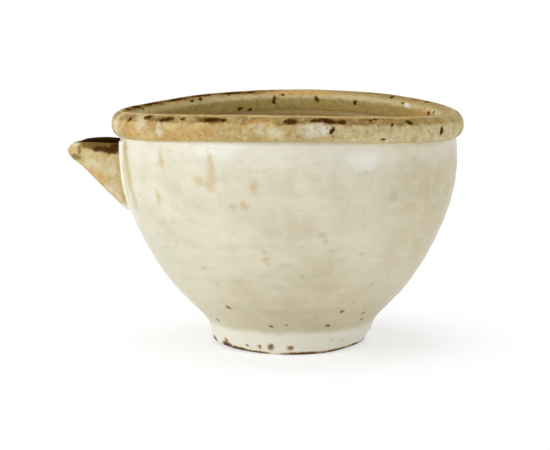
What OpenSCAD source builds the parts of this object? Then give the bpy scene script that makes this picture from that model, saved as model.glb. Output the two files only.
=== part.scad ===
// Katakuchi: a hand-thrown stoneware sake pourer with a rolled rim, a beak spout and a foot ring.
// The origin is on the bowl's axis, on the table. +Z is up and the spout points along -X.

/* [Bowl] */
// Overall height, from the table to the crest of the rolled rim
height = 90.4; // [75:0.2:120]
// Outer diameter of the wall where it meets the rolled rim
neck_d = 126.2; // [110:0.2:160]
// Angle at which the wall leaves the foot, measured from the table
flare_angle = 42; // [35:1:50]
// Reach of the lower part of the wall's curve
belly_reach = 47; // [35:1:55]
// Reach of the upper part of the wall's curve
shoulder_reach = 9; // [4:1:16]
// Lean of the wall inwards under the rim
shoulder_lean = 6; // [0:1:12]
// Thickness of the wall at the rim
wall_t = 4.5; // [3.5:0.1:6]
// Thickness of the wall at the foot
heel_t = 6.5; // [4.5:0.1:9]
// Thickness of the floor
floor_t = 6; // [4.5:0.1:9]

/* [Rim] */
// Thickness of the rolled rim
rim_t = 9.4; // [8:0.1:13]
// Distance that the rolled rim stands out past the wall
rim_overhang = 3.4; // [2.4:0.1:4.6]
// Height of the wall's tongue inside the rolled rim
tongue_h = 4; // [3:0.1:5]

/* [Spout] */
// Distance from the bowl's axis to the tip of the spout
spout_reach = 84.4; // [80:0.2:96]
// Width of the spout at the wall
seat_w = 25; // [21:0.2:32]
// Height of the spout's seat on the wall
seat_h = 28.3; // [24:0.1:36]
// Distance of the spout's lip below the rolled rim
lip_gap = 2; // [1:0.1:5]
// Drop of the lip from the wall to the nose
lip_drop = 0.7; // [0:0.1:3]
// Thickness of the spout's side at the wall
spout_t = 3; // [2.4:0.1:4]
// Thickness of the spout's floor at the wall, measured upright
spout_floor_t = 4.2; // [3:0.1:6]
// Fullness of the spout seen from above, where 1 has straight lips
spout_bow = 1.8; // [1:0.1:2.5]
// Width of the nose
nose_w = 11; // [9:0.1:14]
// Height of the nose
nose_h = 8.2; // [6:0.1:10]
// Length of the nose's rounded end
nose_l = 3.8; // [2.4:0.1:6]
// Thickness of the lips at the nose
nose_t = 3; // [2:0.1:3.6]
// Depth of the pouring groove at the nose
groove_h = 0.8; // [0.4:0.1:2]
// Diameter of the pour hole through the wall
hole_d = 14; // [9:0.5:15]
// Distance of the pour hole's centre below the spout's lip
hole_drop = 12.7; // [11:0.1:15]

/* [Luting] */
// Width of the luting bead along the wall
bead_w = 2.2; // [1.2:0.1:4]
// Width of the luting bead along the spout
bead_h = 2; // [1.2:0.1:4]
// Film of slip in the seams between wall, spout and bead
slip_gap = 0.12; // [0.08:0.01:0.3]

/* [Foot] */
// Height of the foot ring
foot_h = 7.2; // [5.6:0.1:14]
// Outer diameter of the foot ring at its top
foot_d = 61.6; // [54:0.2:68]
// Outer diameter of the ring that stands on the table
stand_d = 56; // [50:0.2:58]
// Width of the ring that stands on the table
stand_w = 5.5; // [3.5:0.1:8]
// Outer diameter of the foot just above its rounded edge
edge_d = 59.4; // [58:0.2:61]
// Height of the foot's rounded edge
edge_h = 2; // [1:0.1:3]
// Taper of the foot's inner side
foot_taper = 1; // [0:0.1:3]
// Height of the hollow between foot and wall
heel_h = 2.8; // [2:0.1:5]
// Distance that the wall stands out past the foot where the hollow ends
heel_out = 1.1; // [0.4:0.1:1.6]

/* [Glaze] */
// Thickness of the glaze
glaze_t = 0.6; // [0.3:0.05:1]
// Gap between the glaze and the top of the spout's lips
glaze_gap = 0.4; // [0.2:0.1:1]

/* [Hidden] */

$fn = 240;
// Number of straight steps in each curve
wall_steps = 30;
floor_steps = 12;
edge_steps = 5;
seat_steps = 24;
lip_steps = 6;
rib_steps = 6;
nose_steps = 5;
bead_steps = 4;
// The nose's rounded end stops just short of a point
nose_last_angle = 72;
// Place on the wall's curve where the inner side turns into the floor
floor_start = 0.12;
// Fullness of the luting bead, where 1 would be a square corner
bead_fullness = 0.8;

neck_r = neck_d / 2;
foot_r = foot_d / 2;
stand_r = stand_d / 2;
edge_r = edge_d / 2;
rim_r = rim_t / 2;
rim_ring_r = neck_r + rim_overhang - rim_r;
rim_z = height - rim_r;
neck_z = rim_z - sqrt(pow(rim_r, 2) - pow(neck_r - rim_ring_r, 2));
tongue_z = neck_z + tongue_h;
floor_z = foot_h + floor_t;

// Corner points of the wall's curve, as radius and height
wall_start = [foot_r + heel_out, foot_h + heel_h];
wall_pull = wall_start + belly_reach * [cos(flare_angle), sin(flare_angle)];
wall_end = [neck_r, neck_z];
wall_rise = wall_end + shoulder_reach * [sin(shoulder_lean), -cos(shoulder_lean)];

lip_z = neck_z - lip_gap;
seat_top_z = lip_z - spout_t / 2;
seat_depth = seat_h - spout_t / 2;
channel_depth = seat_depth - spout_floor_t;
nose_x = spout_reach - nose_l;
nose_top_z = lip_z - lip_drop - nose_t / 2;
nose_depth = nose_h - nose_t / 2;
nose_mid_z = nose_top_z - nose_depth / 2;
hole_z = lip_z - hole_drop;

function mix(a, b, s) = a + (b - a) * s;
function curve3(a, b, c, s) = mix(mix(a, b, s), mix(b, c, s), s);
function curve4(a, b, c, d, s) = mix(curve3(a, b, c, s), curve3(b, c, d, s), s);
function curve3_path(a, b, c, steps) = [for (i = [0:steps]) curve3(a, b, c, i / steps)];

// Outer side of the wall and its direction, from the foot at 0 to the rim at 1
function wall_pt(s) = curve4(wall_start, wall_pull, wall_rise, wall_end, s);
function wall_dir(s) =
    let (d = curve3(wall_pull - wall_start, wall_rise - wall_pull, wall_end - wall_rise, s))
    d / norm(d);
function inward(d) = [-d[1], d[0]];

// Inner side of the wall, which thickens from the rim to the foot
function inner_pt(s) = wall_pt(s) + mix(heel_t, wall_t, s) * inward(wall_dir(s));

// A path pushed sideways by a distance, to the left of its direction
function side_path(path, dist) = [
    for (i = [0:len(path) - 1])
        let (
            before = path[max(i - 1, 0)],
            after = path[min(i + 1, len(path) - 1)],
            d = (after - before) / norm(after - before)
        )
        path[i] + dist * inward(d)
];
function reversed(path) = [for (i = [len(path) - 1:-1:0]) path[i]];

heel_bend = [foot_r, wall_start[1] - heel_out * tan(flare_angle)];
heel_path = curve3_path([foot_r, foot_h], heel_bend, wall_start, edge_steps);
wall_path = [for (i = [1:wall_steps]) wall_pt(i / wall_steps)];
outer_path = concat(heel_path, wall_path);

floor_edge = inner_pt(floor_start);
floor_dir = wall_dir(floor_start);
floor_bend = [floor_edge[0] - (floor_edge[1] - floor_z) * floor_dir[0] / floor_dir[1], floor_z];
inner_path = concat(
    curve3_path([0, floor_z], floor_bend, floor_edge, floor_steps),
    [for (i = [1:wall_steps]) inner_pt(mix(floor_start, 1, i / wall_steps))]
);
tongue_in_r = inner_pt(1)[0];

// Radius of the outer wall at a height
wall_table = [for (p = outer_path) [p[1], p[0]]];
function wall_r(z) = lookup(z, wall_table);

// U-shaped outline at an angle from the near lip, 0, round the floor to the far lip, 180
function u_shape(angle, half_w, depth, grow) =
    let (n = [depth * cos(angle), half_w * sin(angle)])
    [-half_w * cos(angle), -depth * sin(angle)] - grow * n / norm(n);

// The outline laid on the wall, over the film of slip, and the same outline at the nose
function on_wall(yz) =
    let (r = wall_r(yz[1]) + slip_gap)
    [-sqrt(pow(r, 2) - pow(yz[0], 2)), yz[0], yz[1]];
function seat_outline(angle, grow) = u_shape(angle, seat_w / 2, seat_depth, grow) + [0, seat_top_z];
function seat_pt(angle, grow) = on_wall(seat_outline(angle, grow));
function channel_pt(angle) =
    on_wall(u_shape(angle, seat_w / 2 - spout_t, channel_depth, 0) + [0, seat_top_z]);
function at_nose(yz) = [-nose_x, yz[0], yz[1] + nose_top_z];
function nose_pt(angle, grow) = at_nose(u_shape(angle, nose_w / 2, nose_depth, grow));
function groove_pt(angle) = at_nose(u_shape(angle, nose_w / 2 - nose_t, groove_h, 0));

// A rib of the spout from wall to nose, straight in side view and bowed outwards from above
function rib(from, to, s) = [
    mix(from[0], to[0], s),
    mix(from[1], to[1], pow(s, spout_bow)),
    mix(from[2], to[2], s)
];

seat_angles = [for (i = [0:seat_steps]) 180 * i / seat_steps];

// Points over a rounded lip, from one edge to the other
function lip_arc(from, to) = [
    for (i = [1:lip_steps - 1])
        let (angle = 180 * i / lip_steps)
        (from + to) / 2 + (from - to) / 2 * cos(angle) + [0, 0, norm(from - to) / 2 * sin(angle)]
];

// Closed section of the spout, from the wall at 0 to the nose at 1
function spout_ring(s) =
    let (
        outer = [for (a = seat_angles) rib(seat_pt(a, 0), nose_pt(a, 0), s)],
        inner = [for (a = reversed(seat_angles)) rib(channel_pt(a), groove_pt(a), s)]
    )
    concat(
        outer,
        lip_arc(outer[seat_steps], inner[0]),
        inner,
        lip_arc(inner[seat_steps], outer[0])
    );

// Section of the nose's rounded end, drawn in towards its middle
function nose_ring(angle) =
    let (middle = [-nose_x, 0, nose_mid_z])
    [for (p = spout_ring(1)) middle + (p - middle) * cos(angle) - [nose_l * sin(angle), 0, 0]];

// Triangles between neighbouring rings of a skin
function skin_faces(rings, count) = [
    for (r = [0:rings - 2], i = [0:count - 1])
        let (a = r * count + i, b = r * count + (i + 1) % count)
        each [[a, b, b + count], [a, b + count, a + count]]
];

// Triangles that close a spout section: a strip between its two U shapes and a fan under each lip
function section_faces(first) =
    let (far = seat_steps, near = 2 * seat_steps + lip_steps, count = 2 * seat_steps + 2 * lip_steps)
    concat(
        [
            for (i = [0:seat_steps - 1])
                let (j = near - i)
                each [[i, j, i + 1], [i + 1, j, j - 1]] + first * [[1, 1, 1], [1, 1, 1]]
        ],
        [
            for (k = [1:lip_steps - 1])
                each [
                    [far, far + k + 1, far + k],
                    [near, (near + k + 1) % count, near + k]
                ] + first * [[1, 1, 1], [1, 1, 1]]
        ]
    );
function fan_faces(first, count) = [for (k = [1:count - 2]) [first, first + k + 1, first + k]];
function flipped(faces) = [for (f = faces) [f[0], f[2], f[1]]];

// Cross-section of the luting bead at one angle of the seat
function bead_ring(angle) =
    let (
        seam = seat_pt(angle, slip_gap),
        nose = nose_pt(angle, slip_gap),
        up = rib(seam, nose, bead_h / norm(nose - seam)),
        side = seat_pt(angle, bead_w),
        full = seam + bead_fullness * (up + side - 2 * seam)
    )
    concat([seam], curve3_path(up, full, side, bead_steps));

module bowl_clay() {
    rotate_extrude()
        polygon(concat(
            [[0, foot_h]], outer_path,
            [[neck_r, tongue_z], [tongue_in_r, tongue_z]],
            reversed(inner_path)
        ));
}

module rim_roll() {
    rotate_extrude()
        translate([rim_ring_r, rim_z])
            circle(r = rim_r);
}

module pour_hole() {
    translate([0, 0, hole_z])
        rotate([0, -90, 0])
            cylinder(d = hole_d, h = neck_r + rim_overhang);
}

module thrown_bowl() {
    color("#8c6f52")
        difference() {
            bowl_clay();
            pour_hole();
        }
}

module rolled_rim() {
    color("#b89a69")
        difference() {
            rim_roll();
            bowl_clay();
        }
}

// A closed skin over a row of sections, with the triangles that close its two ends
module skin(rings, first_end, last_end) {
    polyhedron(
        points = [for (ring = rings) each ring],
        faces = concat(skin_faces(len(rings), len(rings[0])), first_end, flipped(last_end))
    );
}

module pouring_spout() {
    rings = concat(
        [for (i = [0:rib_steps]) spout_ring(i / rib_steps)],
        [for (i = [1:nose_steps]) nose_ring(nose_last_angle * i / nose_steps)]
    );
    last = (len(rings) - 1) * len(rings[0]);
    color("#a58a5c")
        skin(rings, section_faces(0), section_faces(last));
}

module spout_luting() {
    rings = [for (a = seat_angles) bead_ring(a)];
    count = len(rings[0]);
    last = (len(rings) - 1) * count;
    color("#e9e4d3")
        skin(rings, fan_faces(0, count), fan_faces(last, count));
}

module foot_ring() {
    stand_in_r = stand_r - stand_w;
    color("#7d5c40")
        rotate_extrude()
            polygon(concat(
                [[stand_in_r, 0]],
                curve3_path([stand_r, 0], [edge_r, 0], [edge_r, edge_h], edge_steps),
                [[foot_r, foot_h], [stand_in_r - foot_taper, foot_h]]
            ));
}

// The seat of the spout and its bead, seen along X
module seat_cutter() {
    top_z = lip_z + glaze_gap;
    half_w = seat_w / 2 + bead_w;
    rotate([90, 0, -90])
        linear_extrude(neck_r + rim_overhang)
            polygon(concat(
                [for (a = seat_angles) let (p = seat_outline(a, bead_w)) [-p[0], p[1]]],
                [[-half_w, top_z], [half_w, top_z]]
            ));
}

module outer_glaze() {
    path = concat([[edge_r, edge_h]], outer_path, [[neck_r, neck_z + glaze_t]]);
    color("#ded9c6")
        difference() {
            rotate_extrude()
                polygon(concat(side_path(path, -glaze_t), reversed(path)));
            rim_roll();
            seat_cutter();
        }
}

module inner_glaze() {
    path = concat(inner_path, [[tongue_in_r, tongue_z]]);
    skin = [for (p = side_path(path, glaze_t)) [max(p[0], 0), p[1]]];
    color("#a0946d")
        difference() {
            rotate_extrude()
                polygon(concat(path, reversed(skin)));
            rim_roll();
            pour_hole();
        }
}

thrown_bowl();
rolled_rim();
pouring_spout();
spout_luting();
foot_ring();
outer_glaze();
inner_glaze();
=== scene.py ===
"""A hand-thrown katakuchi: a stoneware sake pourer with a rolled rim, a beak spout and a foot ring.

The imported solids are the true, turned shapes. Each piece made here is the finished surface of one of them:
left a little out of true by the hands, coated with glaze and marked by the fire.
"""

import math

import bmesh
import bpy
import numpy as np
from bpy.props import FloatProperty, FloatVectorProperty, PointerProperty
from mathutils import Matrix, Vector, noise
from mathutils.geometry import interpolate_bezier


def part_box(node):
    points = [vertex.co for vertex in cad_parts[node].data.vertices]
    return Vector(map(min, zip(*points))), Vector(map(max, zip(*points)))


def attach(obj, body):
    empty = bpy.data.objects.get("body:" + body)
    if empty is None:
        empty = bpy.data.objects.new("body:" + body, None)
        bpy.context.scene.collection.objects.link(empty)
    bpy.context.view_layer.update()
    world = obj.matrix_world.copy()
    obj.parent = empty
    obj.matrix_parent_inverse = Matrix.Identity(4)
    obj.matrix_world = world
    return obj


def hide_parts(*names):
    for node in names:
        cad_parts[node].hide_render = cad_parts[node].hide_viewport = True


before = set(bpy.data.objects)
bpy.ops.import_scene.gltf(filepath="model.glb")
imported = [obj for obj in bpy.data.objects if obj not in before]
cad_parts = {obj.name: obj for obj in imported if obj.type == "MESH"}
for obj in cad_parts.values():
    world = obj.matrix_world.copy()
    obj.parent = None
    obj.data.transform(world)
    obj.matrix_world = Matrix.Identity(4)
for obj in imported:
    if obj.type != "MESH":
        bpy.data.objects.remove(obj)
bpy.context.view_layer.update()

bl_info = {
    "name": "Katakuchi Pourer",
    "version": (1, 0, 0),
    "blender": (4, 5, 0),
    "location": "View3D > Sidebar > Pourer",
    "description": "Builds a hand-thrown, glazed stoneware sake pourer around its packed solids",
    "category": "Add Mesh",
}

MM = 0.001
FULL_TURN = 2 * math.pi
MERGE_DISTANCE = 1e-7

# Steps of the turned pieces and of the pour hole round their axes, and rows and columns of the moulded
# pieces
BOWL_STEPS = 160
RIM_STEPS = 480
FOOT_STEPS = 320
COAT_STEPS = 320
INNER_STEPS = 256
HOLE_STEPS = 64
SPOUT_GRID = (56, 150)
BEAD_GRID = (120, 20)

# Points of the bent stretches of the outlines, and steps of the other stretches
WALL_POINTS = 101
FLOOR_POINTS = 30
HEEL_POINTS = 7
FOOT_EDGE_POINTS = 9
FOOT_SIDE_STEPS = 7
ROLL_STEPS = 60
SEAT_STEPS = 48

bowl_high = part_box("thrown_bowl")[1]
rim_low, rim_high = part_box("rolled_rim")
foot_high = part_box("foot_ring")[1]
spout_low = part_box("pouring_spout")[0]


def length(name, description, default):
    """A size in metres that a user can change."""
    return FloatProperty(name=name, description=description, default=default, unit="LENGTH", precision=5)


def angle(name, description, degrees):
    """An angle that a user can change."""
    return FloatProperty(name=name, description=description, default=math.radians(degrees), unit="ROTATION")


def tint(code):
    """Linear red, green and blue of a colour written as six hexadecimal digits."""
    parts = [int(code[i : i + 2], 16) / 255 for i in (0, 2, 4)]
    return tuple(c / 12.92 if c <= 0.04045 else ((c + 0.055) / 1.055) ** 2.4 for c in parts)


def colour(name, description, code):
    """A colour that a user can change."""
    return FloatVectorProperty(
        name=name, description=description, default=tint(code), subtype="COLOR", min=0, max=1
    )


class PourerShape(bpy.types.PropertyGroup):
    """Sizes of the pourer as it was turned"""

    rim_radius: length("Rim radius", "Outer radius of the rolled rim", rim_high.x)
    rim_top: length("Rim top", "Height of the rim's crest", rim_high.z)
    rim_thick: length("Rim thickness", "Thickness of the rolled rim", 9.4 * MM)
    neck_radius: length("Neck radius", "Radius of the wall where it meets the rim", 63.1 * MM)
    neck_height: length("Neck height", "Height where the wall meets the rim", rim_low.z)
    tongue_top: length("Tongue top", "Height of the wall's edge inside the rim", bowl_high.z)
    flare: angle("Flare", "Angle at which the wall leaves the foot", 42)
    belly_reach: length("Belly reach", "Reach of the lower part of the wall's curve", 47 * MM)
    shoulder_reach: length("Shoulder reach", "Reach of the upper part of the wall's curve", 9 * MM)
    shoulder_lean: angle("Shoulder lean", "Lean of the wall inwards under the rim", 6)
    wall_thick: length("Wall thickness", "Thickness of the wall at the rim", 4.5 * MM)
    heel_thick: length("Heel thickness", "Thickness of the wall at the foot", 6.5 * MM)
    floor_thick: length("Floor thickness", "Thickness of the floor", 6 * MM)
    heel_height: length("Heel height", "Height of the hollow between foot and wall", 2.8 * MM)
    heel_out: length("Heel overhang", "How far the wall stands out past the foot", 1.1 * MM)
    foot_radius: length("Foot radius", "Radius of the foot at its top", foot_high.x)
    foot_height: length("Foot height", "Height of the foot ring", foot_high.z)
    foot_edge_radius: length("Foot edge radius", "Radius above the foot's rounded edge", 29.7 * MM)
    foot_edge_height: length("Foot edge height", "Height of the foot's rounded edge", 2 * MM)
    stand_radius: length("Stand radius", "Outer radius of the face on the table", 28 * MM)
    stand_width: length("Stand width", "Width of the face on the table", 5.5 * MM)
    foot_taper: length("Foot taper", "Taper of the foot's inner side", 1 * MM)
    glaze_thick: length("Glaze thickness", "Thickness of the glaze", 0.6 * MM)
    spout_reach: length("Spout reach", "Distance from the axis to the spout's tip", 84 * MM)
    seat_half: length("Seat half width", "Half the width of the spout at the wall", 12.5 * MM)
    seat_low: length("Seat bottom", "Height of the lowest point of the spout's seat", spout_low.z - 1 * MM)
    lip_height: length("Lip height", "Height of the spout's lip at the wall", 79.18 * MM)
    lip_drop: length("Lip drop", "Drop of the lip from the wall to the nose", 1 * MM)
    side_thick: length("Side thickness", "Thickness of the spout's sides at the wall", 3 * MM)
    spout_floor: length("Spout floor", "Thickness of the spout's floor at the wall", 4.2 * MM)
    nose_half: length("Nose half width", "Half the width of the nose", 5.5 * MM)
    nose_height: length("Nose height", "Height of the nose", 8.2 * MM)
    nose_round: length("Nose rounding", "Length of the nose's rounded end", 4.8 * MM)
    nose_thick: length("Nose lip thickness", "Thickness of the lips at the nose", 3 * MM)
    keel: length("Keel", "Fullness of the spout's lower edge below straight ribs", 2.15 * MM)
    groove: length("Groove depth", "Depth of the pouring groove at the nose", 0.8 * MM)
    spout_bow: FloatProperty(
        name="Spout fullness", description="Fullness of the spout from above", default=1.8
    )
    hole_radius: length("Hole radius", "Radius of the pour hole", 7 * MM)
    hole_drop: length("Hole drop", "Distance of the pour hole's centre below the lip", 12.7 * MM)
    bead_wide: length("Bead width", "Width of the luting bead along the wall", 2.8 * MM)
    bead_tall: length("Bead reach", "Width of the luting bead along the spout", 2 * MM)


class PourerHand(bpy.types.PropertyGroup):
    """How far the hands and the fire left the pourer out of true"""

    saddle: length("Saddle", "Rise of the rim at front and back and its dip at the ends", 1.6 * MM)
    lift: length("Lift", "Rise of the whole rim above the turned shape", 0.1 * MM)
    dip: length("Dip", "Dip of the rim behind the spout", 0.3 * MM)
    foot_rise: length("Foot rise", "Rise of the foot's edge off the table at both ends", 1.2 * MM)
    pared: length("Pared edge", "Depth of the bevel pared off the foot on the right", 1.6 * MM)
    drawn: length("Drawn belly", "How far the belly is drawn in from its turned curve", 0.75 * MM)
    twist: angle("Twist", "Turn of the saddle about the axis", 7)
    lean: length("Lean", "How far the rim leans towards the spout", 1.5 * MM)
    wobble: length("Wobble", "Unevenness of the wall", 0.3 * MM)
    ridge: length("Throwing ridge", "Height of the ridges left by the fingers", 0.06 * MM)
    trim: length("Trimming step", "Depth of the step left by the trimming tool", 0.3 * MM)


class PourerColours(bpy.types.PropertyGroup):
    """Colours of the clay and the glazes"""

    clay: colour("Clay", "Bare fired clay", "7A5638")
    umber: colour("Umber", "Darkest burnt clay and iron", "2E1C0A")
    cream: colour("Cream", "Main colour of the white glaze", "E4DEC8")
    pale: colour("Pale", "White glaze where it lies thick", "EEECDF")
    snow: colour("Snow", "White glaze where it has pooled", "F2F3EA")
    blush: colour("Blush", "Pinkish clouds in the white glaze", "DDD0B8")
    ash: colour("Ash", "Grey-green clouds in the white glaze", "CBCBB2")
    # Stain is also laid as painted shade on the white coat and the rim
    stain_and_shade: colour("Stain", "Olive stains where the white glaze is thin", "C6BA96")
    amber: colour("Amber", "Runs of amber in the white glaze", "C9B16C")
    slate: colour("Slate", "Grey flecks in the white glaze", "A19C7C")
    rust: colour("Rust", "Iron round spots and bare edges", "8E5F2A")
    sand: colour("Sand", "Thick pale khaki glaze on rim and spout", "D2C59C")
    straw: colour("Straw", "Thin pale glaze on rim and spout", "CBB577")
    ochre: colour("Ochre", "Main colour of the rim", "AE8A49")
    bark: colour("Bark", "Brown band along the rim's shoulder", "7F6230")
    burnt: colour("Burnt", "Burnt patches along the rim", "3A2006")
    orange: colour("Orange", "Flame marks on rim and spout", "C99E5C")
    olive: colour("Olive", "Glaze inside the bowl", "B2A06B")
    moss: colour("Moss", "Shaded glaze inside the bowl", "AA945A")


SETTINGS = {"pourer_shape": PourerShape, "pourer_hand": PourerHand, "pourer_colours": PourerColours}


def ease(low, high, value):
    """Smooth step from 0 at low to 1 at high."""
    t = min(max((value - low) / (high - low), 0.0), 1.0)
    return t * t * (3 - 2 * t)


def bend(a, b, c, count):
    """Points of the curve from a to c that is pulled towards b."""
    return [Vector(p) for p in interpolate_bezier(a, a.lerp(b, 2 / 3), c.lerp(b, 2 / 3), c, count)]


def beside(path, distance):
    """The path moved sideways, to the left of its direction, by a distance or one for each point."""
    count = len(path)
    moved = []
    for i, p in enumerate(path):
        along = (path[min(i + 1, count - 1)] - path[max(i - 1, 0)]).normalized()
        step = distance[i] if isinstance(distance, list) else distance
        moved.append(p + step * Vector((-along.y, along.x)))
    return moved


# Point of the wall's curve at which its inner side bends into the floor
FLOOR_START = 12


def wall_curve(shape):
    """Outer side of the clay wall from the heel to the rim, as radius and height."""
    start = Vector((shape.foot_radius + shape.heel_out, shape.foot_height + shape.heel_height))
    end = Vector((shape.neck_radius, shape.neck_height))
    pull = start + shape.belly_reach * Vector((math.cos(shape.flare), math.sin(shape.flare)))
    lean = Vector((math.sin(shape.shoulder_lean), -math.cos(shape.shoulder_lean)))
    points = interpolate_bezier(start, pull, end + shape.shoulder_reach * lean, end, WALL_POINTS)
    return [Vector(p) for p in points]


def outer_path(shape):
    """Outer side of the clay from the top of the foot to the rim."""
    wall = wall_curve(shape)
    low = Vector((shape.foot_radius, shape.foot_height))
    corner = Vector((shape.foot_radius, wall[0].y - shape.heel_out * math.tan(shape.flare)))
    return bend(low, corner, wall[0], HEEL_POINTS)[:-1] + wall


def inner_path(shape):
    """Inner side of the clay from the middle of the floor to the wall's top."""
    wall = wall_curve(shape)
    last = len(wall) - 1
    thick = [shape.heel_thick + (shape.wall_thick - shape.heel_thick) * i / last for i in range(last + 1)]
    side = beside(wall, thick)[FLOOR_START:]
    floor_height = shape.foot_height + shape.floor_thick
    along = (wall[FLOOR_START + 1] - wall[FLOOR_START - 1]).normalized()
    corner = Vector((side[0].x - (side[0].y - floor_height) * along.x / along.y, floor_height))
    return bend(Vector((0, floor_height)), corner, side[0], FLOOR_POINTS)[:-1] + side


def foot_side(shape):
    """The foot's outer side from its edge on the table to its top."""
    edge = Vector((shape.foot_edge_radius, shape.foot_edge_height))
    low = bend(Vector((shape.stand_radius, 0)), Vector((edge.x, 0)), edge, FOOT_EDGE_POINTS)
    top = Vector((shape.foot_radius, shape.foot_height))
    return low + [edge.lerp(top, (i + 1) / FOOT_SIDE_STEPS) for i in range(FOOT_SIDE_STEPS)]


def radius_at(path, height):
    """Radius of a path at a height."""
    return float(np.interp(height, [p.y for p in path], [p.x for p in path]))


def lathe(path, steps, closed):
    """A bmesh of the path, given as radius and height, spun about the bowl's axis."""
    bm = bmesh.new()
    verts = [bm.verts.new((max(p.x, 0), 0, p.y)) for p in path]
    pairs = list(zip(verts, verts[1:] + verts[:1])) if closed else list(zip(verts, verts[1:]))
    edges = [bm.edges.new(pair) for pair in pairs]
    bmesh.ops.spin(
        bm, geom=verts + edges, cent=(0, 0, 0), axis=(0, 0, 1), angle=FULL_TURN, steps=steps, use_merge=True
    )
    bmesh.ops.remove_doubles(bm, verts=bm.verts[:], dist=MERGE_DISTANCE)
    bmesh.ops.recalc_face_normals(bm, faces=bm.faces[:])
    return bm


def face_away(bm, outwards):
    """Turns the faces of an open sheet away from the bowl's axis, or towards it."""
    side = sum(f.normal.dot(f.calc_center_median() * Vector((1, 1, 0))) for f in bm.faces)
    if (side > 0) != outwards:
        bmesh.ops.reverse_faces(bm, faces=bm.faces[:])
    bm.normal_update()


def carved(solid, cutter):
    """The solid with the cutter's shape taken out of it."""
    objects = []
    for source in (solid, cutter):
        mesh = bpy.data.meshes.new("carving")
        source.to_mesh(mesh)
        source.free()
        objects.append(bpy.data.objects.new("carving", mesh))
        bpy.context.scene.collection.objects.link(objects[-1])
    cut = objects[0].modifiers.new("cut", "BOOLEAN")
    cut.object = objects[1]
    cut.solver = "EXACT"
    result = bmesh.new()
    result.from_object(objects[0], bpy.context.evaluated_depsgraph_get())
    for item in objects:
        bpy.data.meshes.remove(item.data)
    return result


def pour_hole(shape):
    """Cutter of the hole through the wall behind the spout."""
    bm = bmesh.new()
    reach = shape.rim_radius
    across = Matrix.Rotation(math.radians(90), 4, "Y")
    place = Matrix.Translation((-reach / 2, 0, shape.lip_height - shape.hole_drop)) @ across
    radius = shape.hole_radius
    bmesh.ops.create_cone(
        bm, cap_ends=True, segments=HOLE_STEPS, radius1=radius, radius2=radius, depth=reach, matrix=place
    )
    return bm


def seat_outline(shape, round_seat, grow=0.0):
    """Width and height of the spout's outline on the wall, from the near lip at 0 to the far lip at 1.

    Past either end it goes straight up, by as much of the seat's depth.
    """
    top = shape.lip_height - shape.side_thick / 2
    depth = top - shape.seat_low
    past = max(-round_seat, round_seat - 1, 0)
    turn = math.pi * min(max(round_seat, 0), 1)
    out = Vector((depth * math.cos(turn), shape.seat_half * math.sin(turn))).normalized()
    edge = Vector((-shape.seat_half * math.cos(turn), top - depth * math.sin(turn)))
    return edge - grow * out + Vector((0, past * depth))


def on_wall(wall, y, z, clear=0.0):
    """Point of the wall's spout side at a width and a height."""
    radius = radius_at(wall, z) + clear
    return Vector((-math.sqrt(radius * radius - y * y), y, z))


def rib(shape, seat, nose, s):
    """Point of a rib from the wall to the nose, straight from the side and bowed from above."""
    p = seat.lerp(nose, s)
    p.y = seat.y + (nose.y - seat.y) * s**shape.spout_bow
    return p


# Share of a rib over which the keel swells, and how much of it is lost again at the nose
KEEL_RISE = 0.22
KEEL_LOSS = 0.49


def spout_skins(shape, wall, round_seat, s):
    """Points of the spout's outer and inner skin, at a place round the seat and along the ribs."""
    top = shape.lip_height - shape.side_thick / 2
    nose_top = shape.lip_height - shape.lip_drop - shape.nose_thick / 2
    nose_x = shape.nose_round - shape.spout_reach
    turn = math.pi * round_seat
    across, down = -math.cos(turn), -math.sin(turn)
    y, z = seat_outline(shape, round_seat)
    channel = top - shape.seat_low - shape.spout_floor
    nose_depth = shape.nose_height - shape.nose_thick / 2
    outer = rib(
        shape,
        on_wall(wall, y, z),
        Vector((nose_x, shape.nose_half * across, nose_top + nose_depth * down)),
        s,
    )
    outer.z -= shape.keel * (1 - KEEL_LOSS * s) * ease(0, KEEL_RISE, s) * down * down
    inner = rib(
        shape,
        on_wall(wall, (shape.seat_half - shape.side_thick) * across, top + channel * down),
        Vector((nose_x, (shape.nose_half - shape.nose_thick) * across, nose_top + shape.groove * down)),
        s,
    )
    return outer, inner


# Share of the spout's section that each of its two skins takes, and the lips take the rest
SKIN_SHARE = 0.42

# Sag of both lips at the wall, hump of the far lip with how far it lies towards the nose and how sharp it
# is, and the band of both, as shares of the lip's height
LIP_SAG = 0.9 * MM
LIP_HUMP = 0.75 * MM
HUMP_PLACE = 1.8
HUMP_SHARPNESS = 0.6
LIP_BAND = (0.87, 0.97)

# Share of the spout's length where the nose starts, and of the nose's height where its tip lies
NOSE_START = 0.72
NOSE_LEVEL = 0.695

# How long the nose's sides, top and underside hold their size towards the tip, and how much they taper
NOSE_SIDES = (1.25, 0.6)
NOSE_TOP = (2, 0.5)
NOSE_UNDER = (1.1, 0.7)


def rounding(reach, hold, taper):
    """How much of the nose's section is left at a share of its length, from 1 down to 0."""
    return (1 - reach**hold) ** taper


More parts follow.
